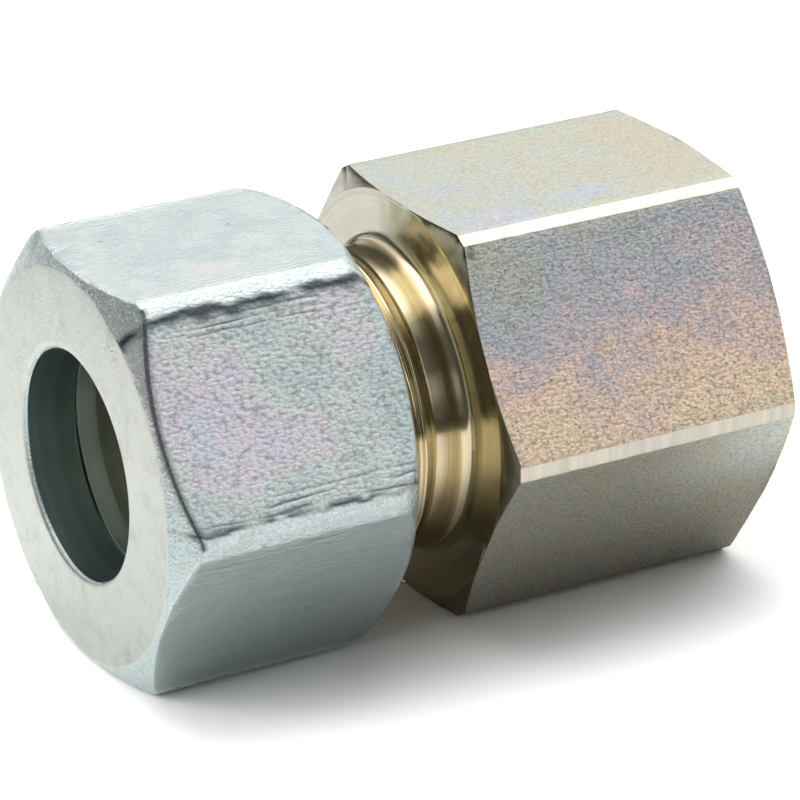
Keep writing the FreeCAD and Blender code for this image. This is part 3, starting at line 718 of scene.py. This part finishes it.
def make_union_nut(settings):
    """Nut surface: forged hexagon, chamfered face, swept-back corners, bore, seat and thread."""
    forged, face, bored, rim = range(4)
    rounding = settings.edge_radius / MM
    half_flat = (FLAT - rounding) * math.tan(SIXTH / 2)
    band = SIXTH / 2 - math.atan2(half_flat, FLAT)
    angle = section_angles(band, corner_columns=12, flat_columns=34)
    count = len(angle)
    side = rounded_radius(angle, rounding)
    face_edge, back_edge, sweep_start = 17.45, 16.6, 18.2
    chamfer = (side - face_edge) * math.tan(math.radians(30))
    # The corners sweep in to the back in an arc of this radius, over the last of the nut's length
    sweep, sweep_length = 5.342, 5.5
    sweep_end = NUT_BACK - sweep_length
    drop = np.sqrt(np.maximum(sweep ** 2 - (side - CORNER + sweep) ** 2, 0))
    pitch = settings.thread_pitch / MM
    minor, major, thread_lead = 13.86, 15.06, 1.2
    bore, bore_edge, seat, pocket, pocket_length = 10.12, 0.3, 4.7, 12.75, 1.04
    # The thread starts where the CAD's plain bore does, at its pitch line's radius
    plain_bore = 14.38
    seat_end = NUT_FACE + seat + pocket - bore
    thread_start = seat_end + pocket_length + plain_bore - pocket
    thread_stop = NUT_BACK - thread_lead
    outside = profile([
        (NUT_FACE, bore + bore_edge, 0, 0, face), (NUT_FACE, face_edge, 0.3, 0.5, face),
        (NUT_FACE + chamfer, side, 0.35, 0.25, rim), (sweep_end + drop, side, 0, 0.42, forged)], count)
    steps = np.linspace(0, 1, 9)[1:, None]
    arc_radius = np.where(side > sweep_start, side + (sweep_start - side) * steps, side)
    arc_x = sweep_end + np.sqrt(np.maximum(sweep ** 2 - (arc_radius - CORNER + sweep) ** 2, 0))
    swept = np.stack([arc_x, arc_radius], axis=-1)
    back = profile([
        (arc_x[-1], arc_radius[-1], 0, 0, rim), (NUT_BACK, back_edge, 0.3, 0.3, rim),
        (NUT_BACK, 15.2, 0.1, 0.4, face), (thread_stop, minor, 0, 0.3, bored)], count)
    # The nut's groove follows the shank's ridge, from the minor radius out to the major one
    female = thread(thread_start, thread_stop, angle, pitch, minor, major, rows_per_pitch=24,
                    fade=0.5)[::-1]
    tail = profile([
        (thread_start, minor, 0, 0, bored), (seat_end + pocket_length, pocket, 0.1, 0.4, bored),
        (seat_end, pocket, 0.1, 0.4, bored), (NUT_FACE + seat, bore, 0.05, 0.4, bored),
        (NUT_FACE + bore_edge, bore, 0.1, 0.4, bored), (NUT_FACE, bore + bore_edge, 0, 0.2, rim)], count)
    rows, finishes = joined([
        outside, (swept, np.full(len(swept), forged)), (back[0][1:], back[1][1:]),
        (female[1:], np.full(len(female) - 1, bored)), (tail[0][1:-1], tail[1][1:-1])])
    points = lathe_points(rows, angle)
    labels = np.repeat(finishes[:, None], count, axis=1)
    off = np.abs((angle + SIXTH / 2) % SIXTH - SIXTH / 2) + 0 * points[..., 0]
    # Relief, always into the steel: an uneven forged skin, lines along the edges, and knocks
    x, radius = rows[..., 0], rows[..., 1]
    outer = (radius > 15.6)[..., None]
    flat, across = across_flat(angle, radius)
    skin = 0.014 * (1 + waves(points, 3.5, 21)) + 0.006 * (1 + waves(points, 1.3, 22))
    ragged = 0.014 * (1 + waves(points, 1.1, 24)) * np.clip((1.9 - off / band) / 0.9, 0, 1)
    worn = 0.015 * (1 + waves(points, 1.1, 25)) * np.exp(-np.abs(x - NUT_FACE - chamfer) / 0.5)
    relief = np.where((x < NUT_FACE + 0.05) & (radius < face_edge - 0.5), 0.01, skin + ragged + worn)
    relief = relief + dents(points, NUT_DENTS)
    points = points - outward(points) * np.clip(relief, 0, 0.6)[..., None] * outer
    # The lower flat's thin film gives the darkest slate colour, partly painted shade
    film = spots(x, across, flat, NUT_FILM) + np.where(flat == 210, -0.1, 0.12)
    # How far the skin is worn smooth: fully at the long edges and on the chamfers, not on the flats
    edge = np.where(labels == forged, 1 / (1 + np.exp((off / band - 0.92) * 14)), labels == rim)
    grain = np.where(flat == 150, 1.0, 0.1) * (1 - edge) + 0.45 * edge
    grain = np.where(labels == forged, grain, 0.3)
    # Painted shade and highlight: the lower flat at 0.7 and the others at 0.86 of the front flat's colour,
    # and the worn edges at 1.15
    shade = np.where(flat == 150, 1.0, np.where(flat == 210, 0.7, 0.86)) * (1 - edge) + 1.15 * edge
    labels = np.where(labels == rim, forged, labels)
    # Dark scale along the front flat's borders, partly real scale and partly a painted reflection of the
    # dark room in front: wide and broken under its upper edge, a thin line above its lower edge and beside
    # the chamfer
    wide = np.where(across < 0, 0.42, 0.14)
    middle = 1.0 + 0.12 * waves(points, 2.5, 27)
    scale = np.exp(-((off / band - middle) / wide) ** 4) * np.clip(1.1 + 0.5 * waves(points, 4.0, 26), 0, 1)
    beside = np.exp(-((x - NUT_FACE - chamfer - 0.15) / 0.22) ** 2)
    scale = np.maximum(scale, beside) * (flat == 150) * (labels == forged)
    depth = settings.grain_depth / MM
    materials = [
        forged_zinc("forged_silver_zinc", settings.colour, depth, tint=0.55, stain=0.12),
        forged_zinc("faced_silver_zinc", settings.face_colour, depth * 0.25, tint=0.15, stain=0.4),
        machined_zinc("bore_silver_zinc", BORE_COLOURS, roughness=0.3, patches=0.25, depth=0.004,
                      mottle=0.1),
    ]
    shade = np.where(labels == face, 1.0, shade)
    values = {"film": film, "grain": grain, "edge": edge, "across": across, "scale": scale,
              "shade": shade}
    piece = torus_mesh("union_nut_surface", points, labels, materials, values)
    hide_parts("union_nut")
    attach(piece, "union_nut")
    return piece


def finish_cutting_ring(settings):
    """Gives the ring, which keeps its own solid, the finish of plated turned steel."""
    material = machined_zinc("ring_steel", RING_COLOURS, settings.roughness, patches=0.5, depth=0.004,
                             mottle=0.1)
    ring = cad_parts["cutting_ring"]
    ring.data.materials.clear()
    ring.data.materials.append(material)
    return ring


# Stage

# Light in the studio by the angle about the X axis, in degrees from level behind, over the top and
# round to the front: a wide softbox overhead, and a dark room in front with one lighter patch.
STUDIO = (
    (0, 0.2), (28, 0.5), (40, 0.8), (50, 1.2), (60, 2.3), (91, 2.3), (100, 1.2), (108, 0.5),
    (120, 0.12), (145, 0.10), (152, 0.30), (162, 0.30), (170, 0.14), (187, 0.10), (200, 0.9),
    (300, 0.9), (345, 0.6), (360, 0.2),
)
STUDIO_STRENGTH = 3.0


def make_world():
    """White all round for the camera. Metal sees a white behind the object, the softbox over it, the
    dark room in front, a white card in front on the right, and a black card on the left, which
    starts further out at the softbox's angles. The paper sees only the front of the black card."""
    # Tones of the white behind, the black card and the white card, as shares of the full strength
    back_tone, black_tone, card_tone = (0.31,) * 3, (0.03,) * 3, (0.6,) * 3
    world = bpy.data.worlds.new("studio")
    tree = empty_tree(world)
    way = tree.add("ShaderNodeTexCoord").outputs["Generated"]
    part = tree.add("ShaderNodeSeparateXYZ", {0: way}).outputs
    turn = tree.math("ARCTAN2", part[2], part[1])
    share = tree.math("FRACT", tree.math("ADD", tree.math("DIVIDE", turn, 2 * math.pi), 1.0))
    stops = [(place / 360, (light / STUDIO_STRENGTH,) * 3) for place, light in STUDIO]
    rays = tree.add("ShaderNodeLightPath").outputs
    # Only what the camera sees in the metal, and not the metal's own glow on the paper
    in_metal = tree.math("MULTIPLY", rays["Is Glossy Ray"], tree.span(rays["Diffuse Depth"], 1.0, 0.0))
    behind = tree.math("MULTIPLY", tree.span(share, 0.137, 0.111), in_metal)
    room = tree.mix(behind, tree.ramp(share, stops), back_tone)
    kept_off = tree.math("MAXIMUM", in_metal, tree.span(share, 0.14, 0.28))
    over = tree.math("MULTIPLY", tree.span(share, 0.14, 0.17), tree.span(share, 0.29, 0.26))
    uncovered = tree.math("MULTIPLY", tree.math("MULTIPLY", over, in_metal), 0.3)
    black_card = tree.span(tree.math("ADD", part[0], uncovered), -0.15, -0.45)
    room = tree.mix(tree.math("MULTIPLY", black_card, kept_off), room, black_tone)
    sides = tree.math("MULTIPLY", tree.span(part[0], 0.52, 0.62), tree.span(part[0], 0.95, 0.85))
    heights = tree.math("MULTIPLY", tree.span(share, 0.29, 0.32), tree.span(share, 0.49, 0.46))
    white_card = tree.math("MULTIPLY", tree.math("MULTIPLY", sides, heights), in_metal)
    room = tree.mix(white_card, room, card_tone)
    around = tree.add("ShaderNodeBackground", {"Color": room, "Strength": STUDIO_STRENGTH}).outputs[0]
    white = tree.add("ShaderNodeBackground", {"Color": (1, 1, 1, 1), "Strength": 1.0}).outputs[0]
    plain = tree.math("MAXIMUM", rays["Is Camera Ray"], rays["Is Transmission Ray"])
    seen = tree.add("ShaderNodeMixShader", {0: plain, 1: around, 2: white}).outputs[0]
    tree.join(seen, tree.add("ShaderNodeOutputWorld").inputs["Surface"])
    bpy.context.scene.world = world


def make_floor():
    """A wide pale floor just under the coupling, which keeps the object's shadow. The camera sees it
    just past white and the metal sees it a little darker, but in the metal it ends a hand's width
    in front and to the left, as a sheet of paper does, with the dark room beyond."""
    # The paper's tones for the camera, in the metal and for scattered light, and the tone past its end
    seen, mirrored, scattering, dark = (1.3,) * 3, (0.92,) * 3, (0.6,) * 3, (0.05,) * 3
    size = 6.0
    corners = ((-size, -size), (size, -size), (size, size), (-size, size))
    mesh = bpy.data.meshes.new("floor")
    mesh.from_pydata([(x, y, -FLAT * MM) for x, y in corners], [], [(0, 1, 2, 3)])
    floor = add_object("floor", mesh)
    material = bpy.data.materials.new("floor_paper")
    tree = empty_tree(material)
    place = tree.scaled(tree.add("ShaderNodeTexCoord").outputs["Object"], (1 / MM,) * 3)
    part = tree.add("ShaderNodeSeparateXYZ", {0: place}).outputs
    reach = tree.add("ShaderNodeVectorMath", {0: place}, operation="LENGTH").outputs["Value"]
    ends = [tree.span(part[1], -108, -125), tree.span(part[0], -85, -130), tree.span(reach, 220, 320)]
    beyond = tree.math("MAXIMUM", tree.math("MAXIMUM", ends[0], ends[1]), ends[2])
    rays = tree.add("ShaderNodeLightPath").outputs
    beyond = tree.math("MULTIPLY", beyond, tree.math("SUBTRACT", 1.0, rays["Is Camera Ray"]))
    scattered = tree.math("MINIMUM", rays["Diffuse Depth"], 1.0)
    paper = tree.mix(rays["Is Glossy Ray"], seen, mirrored)
    paper = tree.mix(scattered, paper, scattering)
    paper = tree.mix(beyond, paper, dark)
    lit = tree.add("ShaderNodeBsdfDiffuse", {"Color": paper}).outputs[0]
    tree.join(lit, tree.add("ShaderNodeOutputMaterial").inputs["Surface"])
    mesh.materials.append(material)


# Lights that only the paper sees, as (name, strength, width in degrees, place): the softbox overhead
# and a little behind, and a low window on the left, which reaches under the nut's edge
LAMPS = (
    ("softbox", 0.3, 50, (0.0, 0.15, 0.45)),
    ("window", 2.5, 60, (-0.45, 0.05, 0.17)),
)


def make_lamps():
    """Wide even lights, each a sun that shines from its place towards the coupling."""
    for name, strength, width, place in LAMPS:
        light = bpy.data.lights.new(name, "SUN")
        light.energy = strength
        light.angle = math.radians(width)
        lamp = add_object(name, light)
        lamp.location = place
        lamp.rotation_euler = (-lamp.location).to_track_quat("-Z", "Y").to_euler()
        lamp.visible_glossy = False


def make_camera(settings):
    """The photograph's view, from the fit to the edges of both hexagons."""
    camera = bpy.data.cameras.new("camera")
    camera.sensor_width = 36.0
    camera.lens = settings.lens
    camera.clip_start = 0.01
    camera.clip_end = 20.0
    holder = add_object("camera", camera)
    holder.location = settings.place
    pan, tilt, roll = settings.turn
    ahead = Vector((math.sin(pan) * math.cos(tilt), math.cos(pan) * math.cos(tilt), math.sin(tilt)))
    level = Vector((math.cos(pan), -math.sin(pan), 0.0))
    upright = level.cross(ahead)
    right = math.cos(roll) * level + math.sin(roll) * upright
    up = math.cos(roll) * upright - math.sin(roll) * level
    turn = Matrix((right, up, -ahead)).transposed()
    holder.rotation_euler = turn.to_euler()
    bpy.context.scene.camera = holder


# Settings, operators and panel

class BodySettings(bpy.types.PropertyGroup):
    turned_corner: bpy.props.FloatProperty(
        name="Turned corner", description="Radius to which the bar's corners are turned down",
        default=20.35 * MM, unit="LENGTH")
    thread_pitch: bpy.props.FloatProperty(
        name="Thread pitch", description="Pitch of the thread between the shank and the nut",
        default=2.0 * MM, unit="LENGTH")
    bar_depth: bpy.props.FloatProperty(
        name="Bar grain", description="Depth of the grain on the bar's flats", default=0.18 * MM,
        unit="LENGTH")


class NutSettings(bpy.types.PropertyGroup):
    edge_radius: bpy.props.FloatProperty(
        name="Edge radius", description="Rounding of the nut's six long edges", default=2.5 * MM,
        unit="LENGTH")
    thread_pitch: bpy.props.FloatProperty(
        name="Thread pitch", description="Pitch of the thread between the shank and the nut",
        default=2.0 * MM, unit="LENGTH")
    grain_depth: bpy.props.FloatProperty(
        name="Grain", description="Depth of the forged grain", default=0.55 * MM, unit="LENGTH")
    colour: bpy.props.FloatVectorProperty(
        name="Colour", description="Silver zinc on the forged skin", default=(0.76, 0.84, 0.84),
        subtype="COLOR")
    face_colour: bpy.props.FloatVectorProperty(
        name="Face colour", description="Silver zinc on the end face", default=(0.70, 0.735, 0.665),
        subtype="COLOR")


class RingSettings(bpy.types.PropertyGroup):
    roughness: bpy.props.FloatProperty(
        name="Roughness", description="Roughness of the cutting ring's plated steel", default=0.3,
        subtype="FACTOR")


class StageSettings(bpy.types.PropertyGroup):
    lens: bpy.props.FloatProperty(
        name="Lens", description="Focal length for the photograph's field of view, in millimetres",
        default=207.054)
    place: bpy.props.FloatVectorProperty(
        name="Camera place", description="Where the camera stands",
        default=(-0.170052, -0.321447, 0.163188), subtype="XYZ", unit="LENGTH", precision=6)
    turn: bpy.props.FloatVectorProperty(
        name="Camera turn", description="Pan, tilt and roll of the camera",
        default=(0.507371, -0.419615, -0.006021), unit="ROTATION", precision=6)


class COUPLING_OT_fitting_body(bpy.types.Operator):
    """Make the surface of the fitting body"""
    bl_idname = "coupling.fitting_body"
    bl_label = "Fitting body"

    def execute(self, context):
        make_fitting_body(context.scene.coupling_body)
        return {"FINISHED"}


class COUPLING_OT_union_nut(bpy.types.Operator):
    """Make the surface of the union nut"""
    bl_idname = "coupling.union_nut"
    bl_label = "Union nut"

    def execute(self, context):
        make_union_nut(context.scene.coupling_nut)
        return {"FINISHED"}


class COUPLING_OT_cutting_ring(bpy.types.Operator):
    """Finish the cutting ring"""
    bl_idname = "coupling.cutting_ring"
    bl_label = "Cutting ring"

    def execute(self, context):
        finish_cutting_ring(context.scene.coupling_ring)
        return {"FINISHED"}


class COUPLING_OT_stage(bpy.types.Operator):
    """Make the floor, the light and the camera"""
    bl_idname = "coupling.stage"
    bl_label = "Stage"

    def execute(self, context):
        make_world()
        make_floor()
        make_lamps()
        make_camera(context.scene.coupling_stage)
        return {"FINISHED"}


class COUPLING_PT_panel(bpy.types.Panel):
    bl_idname = "COUPLING_PT_panel"
    bl_label = "Tube coupling"
    bl_space_type = "VIEW_3D"
    bl_region_type = "UI"
    bl_category = "Coupling"

    def draw(self, context):
        for operator in OPERATORS:
            self.layout.operator(operator.bl_idname)


SETTINGS = {"coupling_body": BodySettings, "coupling_nut": NutSettings, "coupling_ring": RingSettings,
            "coupling_stage": StageSettings}
OPERATORS = (COUPLING_OT_fitting_body, COUPLING_OT_union_nut, COUPLING_OT_cutting_ring, COUPLING_OT_stage)
CLASSES = (*SETTINGS.values(), *OPERATORS, COUPLING_PT_panel)


def register():
    for cls in CLASSES:
        bpy.utils.register_class(cls)
    for name, group in SETTINGS.items():
        setattr(bpy.types.Scene, name, bpy.props.PointerProperty(type=group))


def unregister():
    for name in SETTINGS:
        delattr(bpy.types.Scene, name)
    for cls in reversed(CLASSES):
        bpy.utils.unregister_class(cls)


def main():
    register()
    bpy.ops.coupling.fitting_body()
    bpy.ops.coupling.union_nut()
    bpy.ops.coupling.cutting_ring()
    bpy.ops.coupling.stage()
    bpy.context.scene.view_settings.view_transform = "Standard"


if __name__ == "__main__":
    main()
